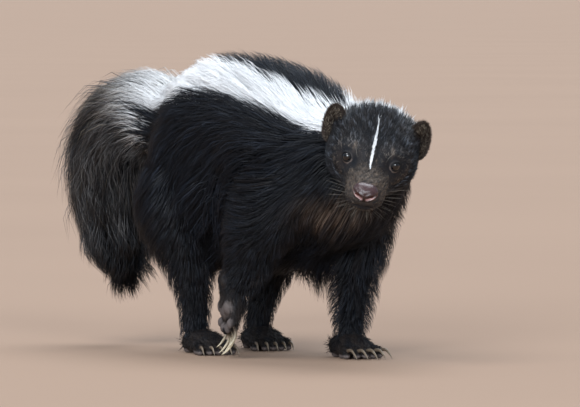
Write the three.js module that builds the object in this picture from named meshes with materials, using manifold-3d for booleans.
// A life-size striped skunk, caught in mid-step, as a still museum model.
// Millimetres. +X is ahead of the animal, +Y is its left, +Z is up, and it stands on z = 0.

import * as THREE from "three";
import { mergeVertices } from "three/addons/utils/BufferGeometryUtils.js";
import Module from "manifold-3d";

const wasm = await Module();
wasm.setup();

const GAP = 0.3; // left between pieces that meet
const SHORTEST = 0.03; // an edge this short is closed up
const GRID = 0.002; // the grid that finished points lie on

// Layers of the coat, as shares of its depth over the skin.
const ROOTS = 0.05;
const CORE = 0.42;
const TIPS = 1;

// Where the trunk is parted into neck and torso, and the tail into its lengths, as shares of their paths.
const NECK_ENDS = 1 / 5;
const TAIL_BASE_ENDS = 1 / 3;
const TAIL_MIDDLE_ENDS = 2 / 3;

const vec = (x, y, z) => new THREE.Vector3(x, y, z);
const degrees = THREE.MathUtils.degToRad;

// One cross-section of a long form: its centre, the skin's reach from it to the side, above and below,
// and how much further the coat stands out on those sides.
const station = (at, skin, coat = [0, 0, 0]) => ({ at: vec(...at), skin: vec(...skin), coat: vec(...coat) });

// The trunk runs from the nape, back along the arched spine, to the rump.
const TRUNK = [
  station([118, 10, 137], [22, 23, 24], [8, 13, 6]),
  station([99, 8, 131], [29, 25, 31], [10, 15, 8]),
  station([79, 6, 124], [35, 30, 39], [12, 16, 10]),
  station([54, 5, 120], [40, 38, 46], [13, 18, 11]),
  station([26, 4, 121], [43, 47, 49], [14, 19, 11]),
  station([-4, 4, 125], [44, 51, 51], [14, 19, 11]),
  station([-34, 1, 126], [44, 55, 52], [14, 19, 11]),
  station([-64, -3, 126], [42, 55, 51], [14, 19, 11]),
  station([-88, -7, 129], [31, 47, 43], [12, 18, 12]),
  station([-103, -10, 133], [18, 40, 29], [10, 20, 12]),
  station([-110, -12, 136], [7, 13, 12], [8, 12, 10]),
];

// The tail leaves the rump, arches over and hangs to its tip. Above is its outer, hairier side.
const TAIL = [
  station([-92, -9, 148], [12, 12, 12], [14, 26, 10]),
  station([-114, -12, 157], [10, 10, 10], [19, 27, 16]),
  station([-138, -16, 159], [9, 9, 9], [24, 23, 22]),
  station([-158, -20, 147], [8, 8, 8], [28, 32, 24]),
  station([-169, -22, 126], [7, 7, 7], [29, 35, 24]),
  station([-172, -22, 102], [6, 6, 6], [27, 31, 24]),
  station([-169, -21, 79], [5, 5, 5], [24, 25, 22]),
  station([-164, -20, 61], [3.5, 3.5, 3.5], [20, 22, 22]),
  station([-161, -19, 50], [1, 1, 1], [13, 14, 14]),
];

const LEG_FRONT_LEFT = [
  station([62, 24, 128], [14, 28, 24], [10, 11, 11]),
  station([58, 30, 100], [16, 24, 22], [11, 12, 12]),
  station([52, 34, 76], [14, 17, 18], [10, 11, 12]),
  station([51, 31, 50], [10.5, 11, 12], [9, 9, 11]),
  station([50, 30, 28], [8.5, 8.5, 9], [8, 7, 8]),
  station([49, 29, 14], [8, 8, 8], [4, 2, 3]),
];
const LEG_FRONT_RIGHT = [
  station([60, -20, 130], [14, 26, 24], [10, 10, 10]),
  station([48, -32, 102], [16, 23, 22], [12, 10, 12]),
  station([34, -35, 80], [14, 17, 18], [9, 8, 11]),
  station([26, -36, 62], [11, 12, 13], [7, 7, 8]),
  station([17.8, -39.6, 45], [8.5, 9, 9.5], [4, 4, 4]),
];
const LEG_HIND_RIGHT = [
  station([-68, -24, 132], [16, 28, 26], [12, 10, 10]),
  station([-60, -37, 108], [19, 28, 26], [12, 11, 12]),
  station([-48, -41, 84], [17, 22, 22], [11, 9, 11]),
  station([-45, -37, 58], [11.5, 13, 14], [7, 7, 8]),
  station([-47, -33, 32], [8.5, 9, 9.5], [4, 4, 5]),
  station([-49, -32, 14], [8, 8, 8], [2, 2, 2]),
];
const LEG_HIND_LEFT = [
  station([-68, 18, 132], [16, 28, 26], [12, 10, 10]),
  station([-62, 33, 108], [19, 28, 26], [12, 11, 12]),
  station([-52, 38, 84], [17, 22, 22], [11, 9, 11]),
  station([-55, 33, 58], [11.5, 13, 14], [7, 7, 8]),
  station([-62, 29, 32], [8.5, 9, 9.5], [4, 4, 5]),
  station([-66, 28, 14], [8, 8, 8], [2, 2, 2]),
];

// The head's own frame has its origin midway between the eyes, +X out along the muzzle and +Z up.
const EYE_LINE = vec(150, -19, 134);
const HEAD_YAW = degrees(-36);
const HEAD_PITCH = degrees(17); // nose down
const HEAD_ROLL = degrees(-12); // crown towards the animal's left
const HEAD = [
  station([35, 0, -14], [6, 5, 7]),
  station([32, 0, -14], [9.5, 8, 10]),
  station([26, 0, -13.5], [12, 10, 12]),
  station([18, 0, -12.5], [13.5, 12, 14]),
  station([9, 0, -10.5], [16, 14, 17.5]),
  station([0, 0, -7.5], [21.5, 18.5, 21]),
  station([-10, 0, -5], [28, 22, 24]),
  station([-22, 0, -3], [31, 25, 26]),
  station([-34, 0, -1], [30, 25.5, 27]),
  station([-45, 0, 1], [24, 21, 24]),
  station([-52, 0, 3], [12, 11, 13]),
];

const EYE_RADIUS = 4.2;
const EYE_AT = vec(2.4, 14.6, 0);
const GAZE_YAW = degrees(38);
const GAZE_PITCH = degrees(-6);
const LID_THICKNESS = 1.3;

const NOSE_AT = vec(33, 0, -11);
const NOSE_SIZE = vec(7.2, 8.4, 6.3);
const NOSTRIL_AT = vec(6.4, 4.4, -0.6);
const NOSTRIL_SIZE = vec(3.2, 1.7, 1.9);
const SLIT_FROM_NOSTRIL = vec(-1.2, 1.9, -1.2); // on the left side
const SLIT_SIZE = vec(2.6, 2.4, 0.7);

const EAR_AT = vec(-27, 29.3, 9);
const EAR_WIDE = 8.6;
const EAR_TALL = 11.9;
const EAR_DEEP = 6.5;
const EAR_WALL = 2.4;
const EAR_FACES = vec(0.77, 0.62, 0.12);

const LIP_RADIUS = 1.5;
const MOUTH_RADIUS = 0.7;
const MOUTH_FRONT = vec(0.5, 0, 2.2); // its middle, from the chin's front
const MOUTH_ANGLE = degrees(-42); // round the muzzle, from its side towards the chin
const MOUTH_CORNER = 0.43; // how far back along the head the mouth reaches

const onPath = (t) => THREE.MathUtils.clamp(t, 0, 1);

// A form strung along a smooth path in the direction that its coat lies. `across` is near its side axis.
class Form {
  constructor(stations, across, squareness = 2.2) {
    const curve = (part) => new THREE.CatmullRomCurve3(stations.map((s) => s[part]), false, "catmullrom", 0.5);
    this.path = curve("at");
    this.skin = curve("skin");
    this.coat = curve("coat");
    this.across = across;
    this.power = 2 / squareness;
  }

  // The share of the path that a length covers near t.
  share(length, t) {
    const near = 0.02;
    const [a, b] = [onPath(onPath(t) - near), onPath(onPath(t) + near)];
    return (length * (b - a)) / this.path.getPoint(a).distanceTo(this.path.getPoint(b));
  }

  frame(t) {
    const ahead = this.path.getTangent(t);
    const up = vec(0, 0, 0).crossVectors(ahead, this.across).normalize();
    return { centre: this.path.getPoint(t), ahead, up, side: vec(0, 0, 0).crossVectors(up, ahead) };
  }

  // The way round the coat's tips at t.
  girth(t) {
    const reach = this.skin.getPoint(onPath(t)).add(this.coat.getPoint(onPath(t)));
    return Math.PI * (reach.x + (reach.y + reach.z) / 2);
  }

  // The point at a share t of the path and an angle round it, on a layer of the coat. Past an end it runs straight on.
  point(t, angle, layer) {
    const inside = onPath(t);
    const { centre, ahead, up, side } = this.frame(inside);
    centre.addScaledVector(ahead, (t - inside) / this.share(1, inside));
    const reach = this.skin.getPoint(inside).addScaledVector(this.coat.getPoint(inside), layer);
    const [c, s] = [Math.cos(angle), Math.sin(angle)];
    const sideways = Math.sign(c) * Math.abs(c) ** this.power * reach.x;
    const upwards = Math.sign(s) * Math.abs(s) ** this.power * (s > 0 ? reach.y : reach.z);
    return centre.addScaledVector(side, sideways).addScaledVector(up, upwards);
  }

  // The form between two shares of its path, as a solid: a closed cylinder wrapped onto its cross-sections.
  // `layer` gives the layer of the coat that the surface follows at each share t.
  solid({ from = 0, to = 1, rings, sides, layer = () => TIPS, grow = 0 }) {
    const geometry = bare(new THREE.CylinderGeometry(1, 1, 1, sides, rings));
    const places = geometry.attributes.position;
    for (let i = 0; i < places.count; i++) {
      const t = from + (to - from) * (0.5 - places.getY(i));
      const onAxis = Math.hypot(places.getX(i), places.getZ(i)) < 0.5;
      const angle = Math.atan2(places.getZ(i), places.getX(i));
      const place = onAxis ? this.path.getPoint(t) : this.point(t, angle, layer(t));
      places.setXYZ(i, place.x, place.y, place.z);
    }
    return solidOf(geometry, grow);
  }
}

const SOFTNESS = 0.05; // keeps a flat place from being pushed sideways
const MITRE = 3; // how far a sharp corner may move, as a share of its faces' way

// A geometry reduced to its shared points.
function bare(geometry) {
  const plain = geometry.clone();
  plain.deleteAttribute("normal");
  plain.deleteAttribute("uv");
  return mergeVertices(plain, 1e-4);
}

// Moves each point of a geometry so that all the faces round it move out by `grow`, or near it at a sharp corner.
function swell({ attributes: { position }, index }, grow) {
  const places = Array.from({ length: position.count }, (_, i) => vec(0, 0, 0).fromBufferAttribute(position, i));
  const facings = places.map(() => []);
  for (let i = 0; i < index.count; i += 3) {
    const corners = [index.getX(i), index.getX(i + 1), index.getX(i + 2)];
    const [a, b, c] = corners.map((corner) => places[corner].clone());
    const facing = b.sub(a).cross(c.sub(a)).normalize();
    corners.forEach((corner) => facings[corner].push(facing));
  }
  places.forEach((place, i) => {
    const spread = [SOFTNESS, 0, 0, 0, SOFTNESS, 0, 0, 0, SOFTNESS];
    const push = vec(0, 0, 0);
    for (const facing of facings[i]) {
      const parts = facing.toArray();
      parts.forEach((p, row) => parts.forEach((q, column) => (spread[3 * row + column] += p * q)));
      push.add(facing);
    }
    push.applyMatrix3(new THREE.Matrix3().fromArray(spread).invert()).clampLength(0, MITRE);
    place.addScaledVector(push, grow);
    position.setXYZ(i, place.x, place.y, place.z);
  });
}

// A closed geometry as a solid, for joining and cutting, swollen by `grow` all round.
function solidOf(geometry, grow = 0) {
  const plain = bare(geometry);
  swell(plain, grow);
  return new wasm.Manifold(
    new wasm.Mesh({
      numProp: 3,
      vertProperties: plain.attributes.position.array,
      triVerts: new Uint32Array(plain.index.array),
    }),
  );
}

const moved = (solid, matrix) => solid.transform(matrix.elements);
const join = (solids) => wasm.Manifold.union(solids);
const clearOf = (solid, others) => others.reduce((left, other) => left.subtract(other), solid);

// Everything below the floor, in the frame that the matrix leads out of.
function belowFloor(matrix = new THREE.Matrix4()) {
  const depth = 200;
  const slab = new THREE.BoxGeometry(4 * depth, 4 * depth, depth).translate(0, 0, -depth / 2);
  return solidOf(slab.applyMatrix4(matrix.clone().invert()));
}

// A solid's surface as a geometry, its points on a fine grid.
function geometryOf(solid) {
  const { numProp, vertProperties, triVerts } = solid.getMesh();
  const count = vertProperties.length / numProp;
  const places = new THREE.BufferAttribute(new Float32Array(3 * count), 3);
  const onGrid = (value) => Math.round(value / GRID) * GRID;
  for (let i = 0; i < count; i++) {
    const [x, y, z] = vertProperties.subarray(i * numProp, i * numProp + 3);
    places.setXYZ(i, onGrid(x), onGrid(y), onGrid(z));
  }
  const geometry = new THREE.BufferGeometry().setAttribute("position", places);
  return geometry.setIndex(new THREE.BufferAttribute(triVerts, 1));
}

// A solid's largest closed surface, back as a named mesh.
function meshOf(name, solid, material) {
  const pieces = solidOf(geometryOf(solid.simplify(SHORTEST))).decompose();
  const geometry = geometryOf(pieces.sort((a, b) => b.volume() - a.volume())[0]);
  geometry.computeVertexNormals();
  const mesh = new THREE.Mesh(geometry, material);
  mesh.name = name;
  return mesh;
}

// A round rod along a curve, with closed ends.
function rod(curve, radius, sides, steps, grow = 0) {
  const section = new THREE.Shape(
    Array.from({ length: sides }, (_, i) => {
      const angle = (i * 2 * Math.PI) / sides;
      return new THREE.Vector2(radius * Math.cos(angle), radius * Math.sin(angle));
    }),
  );
  return solidOf(new THREE.ExtrudeGeometry(section, { steps, bevelEnabled: false, extrudePath: curve }), grow);
}

// A lock of long fur, as shares of its width and thickness from root to tip.
const LOCK_WIDTHS = [0.6, 1, 0.95, 0.65, 0.05];
const LOCK_THICKNESSES = [1, 1, 0.9, 0.6, 0.2];
const LOCK_BEND = 2.4; // how soon it bends over from rising to lying back
const LOCK_WIDE = 0.8; // its width, as a share of the room that it has in its row
const LOCK_THICK = 0.16; // its thickness, as a share of the coat's depth
const VARIETY = 0.14; // how far its sizes stray
const BURIED = 0.4; // a lock with this share of it inside another piece isn't grown

// A three-sided tapered lock that rises from inside the core, bends over and lies back along the coat.
function lock(form, { t, angle, long, wide, sweep, height }, grow = 0) {
  const rings = LOCK_WIDTHS.length - 1;
  const geometry = bare(new THREE.CylinderGeometry(1, 1, 1, 3, rings));
  const step = form.share(long, t);
  const narrowing = (s) => Math.min(form.girth(t + step * s) / form.girth(t), 1);
  const spine = (s, over = 0) => {
    const layer = ROOTS + (height - ROOTS) * (1 - (1 - Math.min(s, 1)) ** LOCK_BEND);
    return form.point(t + step * s, angle + sweep * s * s, layer + over);
  };
  const places = geometry.attributes.position;
  for (let i = 0; i < places.count; i++) {
    const ring = Math.round((places.getY(i) + 0.5) * rings);
    const s = ring / rings;
    const place = spine(s);
    const along = spine(s + 0.05).sub(spine(Math.max(s - 0.05, 0)));
    const outwards = spine(s, LOCK_THICK * LOCK_THICKNESSES[ring] + 0.01).sub(place);
    const across = along.cross(outwards).normalize();
    const [x, z] = [places.getX(i), places.getZ(i)];
    const onRidge = z > Math.abs(x);
    if (onRidge) place.add(outwards);
    else place.addScaledVector(across, (Math.sign(x) * wide * LOCK_WIDTHS[ring] * narrowing(s)) / 2);
    places.setXYZ(i, place.x, place.y, place.z);
  }
  return solidOf(geometry, grow);
}

// Repeatable numbers between -1 and 1.
function dice(seed) {
  let state = seed;
  return () => {
    state = (state * 16807) % 2147483647;
    return (2 * state) / 2147483647 - 1;
  };
}

// Rows of locks round a form, evenly spaced. Each row starts half a step round from the last.
function rowsOfLocks(form, { from, to, rows, spacing, long, seed, sweep = 0 }) {
  const random = dice(seed);
  const stray = () => 1 + VARIETY * random();
  const row = (number) => {
    const t = rows > 1 ? from + ((to - from) * number) / (rows - 1) : from;
    const around = Math.round(form.girth(t) / spacing);
    const turn = (2 * Math.PI) / around;
    return Array.from({ length: around }, (_, i) => {
      const angle = turn * (i + 0.5 * (number % 2) + 0.15 * random());
      return {
        t: t + 0.012 * random(),
        angle,
        long: long * stray(),
        wide: LOCK_WIDE * spacing * stray(),
        sweep: 0.06 * random() - sweep * Math.cos(angle),
        height: TIPS + 0.06 * random(),
      };
    });
  };
  return Array.from({ length: rows }, (_, number) => row(number)).flat();
}

const coat = (color, roughness) => new THREE.MeshStandardMaterial({ color, roughness, metalness: 0 });
const blackFur = coat(0x14151a, 0.75);
const brownSkin = coat(0x2e2521, 0.7);
const noseLeather = coat(0x3f2b2d, 0.35);
const eyeGlass = coat(0x050506, 0.05);

const trunkForm = new Form(TRUNK, vec(0, -1, 0), 2.25);
const tailForm = new Form(TAIL, vec(0, -1, 0), 2);
const headForm = new Form(HEAD, vec(0, -1, 0), 2.2);

// The eyes, in the head's frame, for one side: 1 is left and -1 right.
function eye(side, grow = 0) {
  const ball = new THREE.SphereGeometry(EYE_RADIUS, 12, 8);
  return solidOf(ball.translate(EYE_AT.x, side * EYE_AT.y, EYE_AT.z), grow);
}

// A rim of skin round each eye's opening, a little wider than it is tall.
function lids(side, grow = 0) {
  const rim = new THREE.TorusGeometry(EYE_RADIUS * 0.93, LID_THICKNESS, 5, 12);
  rim.scale(1.12, 0.86, 1).translate(0, 0, EYE_RADIUS * 0.5);
  const faceAhead = new THREE.Matrix4().makeBasis(vec(0, 1, 0), vec(0, 0, 1), vec(1, 0, 0));
  const gaze = new THREE.Matrix4().makeRotationFromEuler(new THREE.Euler(0, GAZE_PITCH, side * GAZE_YAW, "ZYX"));
  const place = new THREE.Matrix4().makeTranslation(EYE_AT.x, side * EYE_AT.y, EYE_AT.z);
  return solidOf(rim.applyMatrix4(place.multiply(gaze).multiply(faceAhead)), grow);
}

// The mouth's line: from one corner, round under the nose, to the other.
function mouthLine() {
  const steps = 6;
  const side = (turn) =>
    Array.from({ length: steps }, (_, i) => {
      const back = MOUTH_CORNER * (1 - i / steps);
      const angle = Math.PI / 2 + turn * (Math.PI / 2 - MOUTH_ANGLE);
      return headForm.point(back, angle, TIPS);
    });
  const front = headForm.point(0.02, -Math.PI / 2, TIPS).add(MOUTH_FRONT);
  return new THREE.CatmullRomCurve3([...side(1), front, ...side(-1).reverse()]);
}

function nose(grow = 0) {
  const pad = new THREE.SphereGeometry(1, 12, 8).scale(NOSE_SIZE.x, NOSE_SIZE.y, NOSE_SIZE.z);
  return solidOf(pad.translate(NOSE_AT.x, NOSE_AT.y, NOSE_AT.z), grow);
}

// Each nostril opens forwards and runs out into a slit at its outer side.
function nostril(side) {
  const hole = new THREE.SphereGeometry(1, 6, 5).scale(NOSTRIL_SIZE.x, NOSTRIL_SIZE.y, NOSTRIL_SIZE.z);
  const slit = new THREE.SphereGeometry(1, 6, 5).scale(SLIT_SIZE.x, SLIT_SIZE.y, SLIT_SIZE.z);
  const onSide = ({ x, y, z }) => vec(x, side * y, z);
  const at = NOSE_AT.clone().add(onSide(NOSTRIL_AT));
  const outer = at.clone().add(onSide(SLIT_FROM_NOSTRIL));
  return solidOf(hole.translate(at.x, at.y, at.z)).add(solidOf(slit.translate(outer.x, outer.y, outer.z)));
}

function head(grow = 0) {
  const skull = headForm.solid({ rings: 12, sides: 16, grow });
  return join([skull, lids(1, grow), lids(-1, grow), rod(mouthLine(), LIP_RADIUS, 5, 14, grow)]);
}

// A thin bowl that opens forwards and outwards, its lower edge set in the head.
function ear(side, grow = 0) {
  const curve = (radius, deep, count) =>
    Array.from({ length: count }, (_, i) => {
      const angle = (i * Math.PI) / 2 / (count - 1);
      return new THREE.Vector2(radius * Math.sin(angle), -deep * Math.cos(angle));
    });
  const inner = 1 - EAR_WALL / EAR_TALL;
  const profile = [...curve(1, EAR_DEEP, 5), ...curve(inner, EAR_DEEP - EAR_WALL, 4).reverse()];
  const bowl = new THREE.LatheGeometry(profile, 16).scale(EAR_WIDE, 1, EAR_TALL);
  const faces = vec(EAR_FACES.x, side * EAR_FACES.y, EAR_FACES.z).normalize();
  const wide = vec(0, 0, 1).cross(faces).normalize().multiplyScalar(-1);
  const tall = wide.clone().cross(faces);
  const stand = new THREE.Matrix4().makeBasis(wide, faces, tall);
  return solidOf(bowl.applyMatrix4(stand.setPosition(EAR_AT.x, side * EAR_AT.y, EAR_AT.z)), grow);
}

// The paws. Each is built with its sole on z = 0, its toes ahead, and is then set under its leg.
const FRONT_PAW = { heel: -13, ball: 15, wide: 12.5, tall: 10, toe: 11, claw: 15, lift: 2.5, curl: 0 };
const RAISED_PAW = { ...FRONT_PAW, curl: 2 }; // its claws hang, bent towards the palm
const HIND_PAW = { heel: -17, ball: 20, wide: 12, tall: 9, toe: 10, claw: 8, lift: 1, curl: 0 };
const TOES = 5;
const TOE_RADIUS = 3.5;
const CLAW_RADIUS = 1.5;

function paw({ heel, ball, wide, tall, toe, claw, lift, curl }, grow = 0) {
  const middle = (heel + ball) / 2;
  const palm = new Form(
    [
      station([heel - 4, 0, 6.5], [3, 3, 3.5]),
      station([heel, 0, 7], [wide * 0.66, tall * 0.75, 7.4]),
      station([middle, 0, 7.5], [wide * 0.88, tall, 8]),
      station([ball - 4, 0, 7], [wide, tall * 0.8, 7.6]),
      station([ball + 2, 0, 6], [wide * 0.85, tall * 0.5, 6]),
      station([ball + 5, 0, 5.5], [wide * 0.5, 2.5, 3]),
    ],
    vec(0, 1, 0),
  );
  const pieces = [palm.solid({ rings: 5, sides: 10, grow })];
  for (let i = 0; i < TOES; i++) {
    const spread = i / (TOES - 1) - 0.5; // from -0.5 on the right to 0.5 on the left
    const reach = toe * (1 - 1.6 * spread * spread);
    const root = 1.62 * wide * spread;
    const tip = root * 1.22;
    const knuckle = ball + reach;
    const digit = new Form(
      [
        station([ball - 6, root, 6], [TOE_RADIUS, TOE_RADIUS, TOE_RADIUS]),
        station([ball + reach * 0.55, (root + tip) / 2, 5.6], [TOE_RADIUS, TOE_RADIUS, TOE_RADIUS]),
        station([knuckle, tip, 4.4], [2.2, 2.4, 2.4]),
      ],
      vec(0, 1, 0),
      2,
    );
    const nail = new Form(
      [
        station([knuckle - 3, tip, 5], [CLAW_RADIUS, CLAW_RADIUS, CLAW_RADIUS]),
        station([knuckle + claw * 0.4, tip * 1.04, 5 + lift * 0.4 - curl * 0.2], [1.2, 1.4, 1.4]),
        station([knuckle + claw * 0.8, tip * 1.06, 2.6 + lift * 0.2 - curl * 0.6], [0.8, 1, 1]),
        station([knuckle + claw, tip * 1.06, 0.6 - curl], [0.3, 0.35, 0.35]),
      ],
      vec(0, 1, 0),
      2,
    );
    pieces.push(digit.solid({ rings: 2, sides: 5, grow }), nail.solid({ rings: 3, sides: 3, grow }));
  }
  return join(pieces);
}

const placeOf = (at, yaw = 0, pitch = 0) =>
  new THREE.Matrix4()
    .makeRotationFromEuler(new THREE.Euler(0, degrees(pitch), degrees(yaw), "ZYX"))
    .setPosition(vec(...at));

const LEGS = [
  { name: "front_left", form: LEG_FRONT_LEFT, paw: FRONT_PAW, place: placeOf([50, 27, 0], -4) },
  { name: "front_right", form: LEG_FRONT_RIGHT, paw: RAISED_PAW, place: placeOf([13, -49.5, 43], 72, 87) },
  { name: "hind_left", form: LEG_HIND_LEFT, paw: HIND_PAW, place: placeOf([-62, 27, 0], -12) },
  { name: "hind_right", form: LEG_HIND_RIGHT, paw: HIND_PAW, place: placeOf([-40, -32, 0], -8) },
];

const skunk = new THREE.Group();
const headGroup = new THREE.Group();
headGroup.position.copy(EYE_LINE);
headGroup.rotation.set(HEAD_ROLL, HEAD_PITCH, HEAD_YAW, "ZYX");
headGroup.updateMatrix();
skunk.add(headGroup);

const headRoom = head(GAP);
const mouth = rod(mouthLine(), MOUTH_RADIUS, 3, 14);
const skull = clearOf(head(), [eye(1, GAP), eye(-1, GAP), nose(GAP), mouth]);
headGroup.add(meshOf("head", skull, blackFur));
headGroup.add(meshOf("nose", clearOf(nose(), [nostril(1), nostril(-1)]), noseLeather));
for (const [name, side] of [["left", 1], ["right", -1]]) {
  headGroup.add(meshOf(`eye_${name}`, eye(side), eyeGlass));
  headGroup.add(meshOf(`ear_${name}`, clearOf(ear(side), [headRoom]), brownSkin));
}

const atCore = () => CORE;
const shortBelow = (t) => CORE + (TIPS - CORE) * THREE.MathUtils.smoothstep(t, 0.5, 0.75);
const limb = { rings: 8, sides: 10, layer: shortBelow };
const limbLocks = { from: 0.16, to: 0.38, rows: 2, spacing: 27, long: 42 };
const length = { rings: 3, sides: 9, layer: atCore };

// The furry solids, those whose locks lie over the others' first.
const FURRY = [
  {
    name: "neck",
    form: trunkForm,
    core: { to: NECK_ENDS, rings: 4, sides: 14, layer: atCore },
    locks: { from: -0.05, to: 0.1, rows: 3, spacing: 31, long: 42, seed: 11, sweep: 0.1 },
  },
  ...LEGS.slice(0, 2).map(({ name, form }, i) => ({
    name: `leg_${name}`,
    form: new Form(form, vec(0, 1, 0)),
    core: limb,
    locks: { ...limbLocks, seed: 21 + i },
  })),
  {
    name: "torso",
    form: trunkForm,
    core: { from: NECK_ENDS, rings: 9, sides: 12, layer: atCore },
    locks: { from: 0.21, to: 0.9, rows: 6, spacing: 35, long: 62, seed: 31, sweep: 0.16 },
  },
  ...LEGS.slice(2).map(({ name, form }, i) => ({
    name: `leg_${name}`,
    form: new Form(form, vec(0, 1, 0)),
    core: limb,
    locks: { ...limbLocks, seed: 41 + i },
  })),
  {
    name: "tail_base",
    form: tailForm,
    core: { to: TAIL_BASE_ENDS, ...length },
    locks: { from: 0.04, to: 0.24, rows: 3, spacing: 33, long: 52, seed: 51 },
  },
  {
    name: "tail_middle",
    form: tailForm,
    core: { from: TAIL_BASE_ENDS, to: TAIL_MIDDLE_ENDS, ...length },
    locks: { from: 0.36, to: 0.54, rows: 2, spacing: 27, long: 58, seed: 61 },
  },
  {
    name: "tail_tip",
    form: tailForm,
    core: { from: TAIL_MIDDLE_ENDS, ...length },
    locks: { from: 0.69, to: 0.82, rows: 2, spacing: 24, long: 40, seed: 71 },
  },
];

// Which cores stay whole where two run into each other: the one named first.
const CORE_ORDER = [
  "torso",
  "neck",
  "leg_front_left",
  "leg_front_right",
  "leg_hind_left",
  "leg_hind_right",
  "tail_base",
  "tail_middle",
  "tail_tip",
];

const cores = FURRY.map(({ form, core }) => form.solid({ ...core, grow: GAP }));
const grown = FURRY.map(({ name, form, core, locks }, place) => {
  const others = join(cores.filter((_, i) => i !== place));
  const isFree = (row) => {
    const whole = lock(form, row);
    return whole.intersect(others).volume() < BURIED * whole.volume();
  };
  const rows = rowsOfLocks(form, locks).filter(isFree);
  return {
    name,
    core: form.solid(core),
    coreRoom: cores[place],
    locks: join(rows.map((row) => lock(form, row))),
    locksRoom: join(rows.map((row) => lock(form, row, GAP))),
  };
});
const rank = ({ name }) => CORE_ORDER.indexOf(name);
const headInPlace = moved(headRoom, headGroup.matrix);
const earsInPlace = [1, -1].map((side) => moved(ear(side, GAP), headGroup.matrix));
const always = [headInPlace, ...earsInPlace, belowFloor()];
grown.forEach((node, place) => {
  const others = grown.filter((other) => other !== node);
  const cores = others.filter((other) => rank(other) < rank(node)).map((other) => other.coreRoom);
  const core = clearOf(node.core, cores);
  const above = grown.slice(0, place).map((other) => other.locksRoom);
  const locks = clearOf(node.locks, [...others.map((other) => other.coreRoom), ...above]);
  skunk.add(meshOf(node.name, clearOf(core.add(locks), always), blackFur));
});

for (const leg of LEGS) {
  const shin = grown.find(({ name }) => name === `leg_${leg.name}`);
  const foot = moved(paw(leg.paw), leg.place);
  skunk.add(meshOf(`paw_${leg.name}`, clearOf(foot, [shin.coreRoom, shin.locksRoom, belowFloor()]), blackFur));
}

// The origin goes to the middle of the model's footprint, on the floor.
const extent = new THREE.Box3().setFromObject(skunk, true);
const centre = extent.getCenter(vec(0, 0, 0));
skunk.position.set(-centre.x, -centre.y, -extent.min.z);

export default skunk;
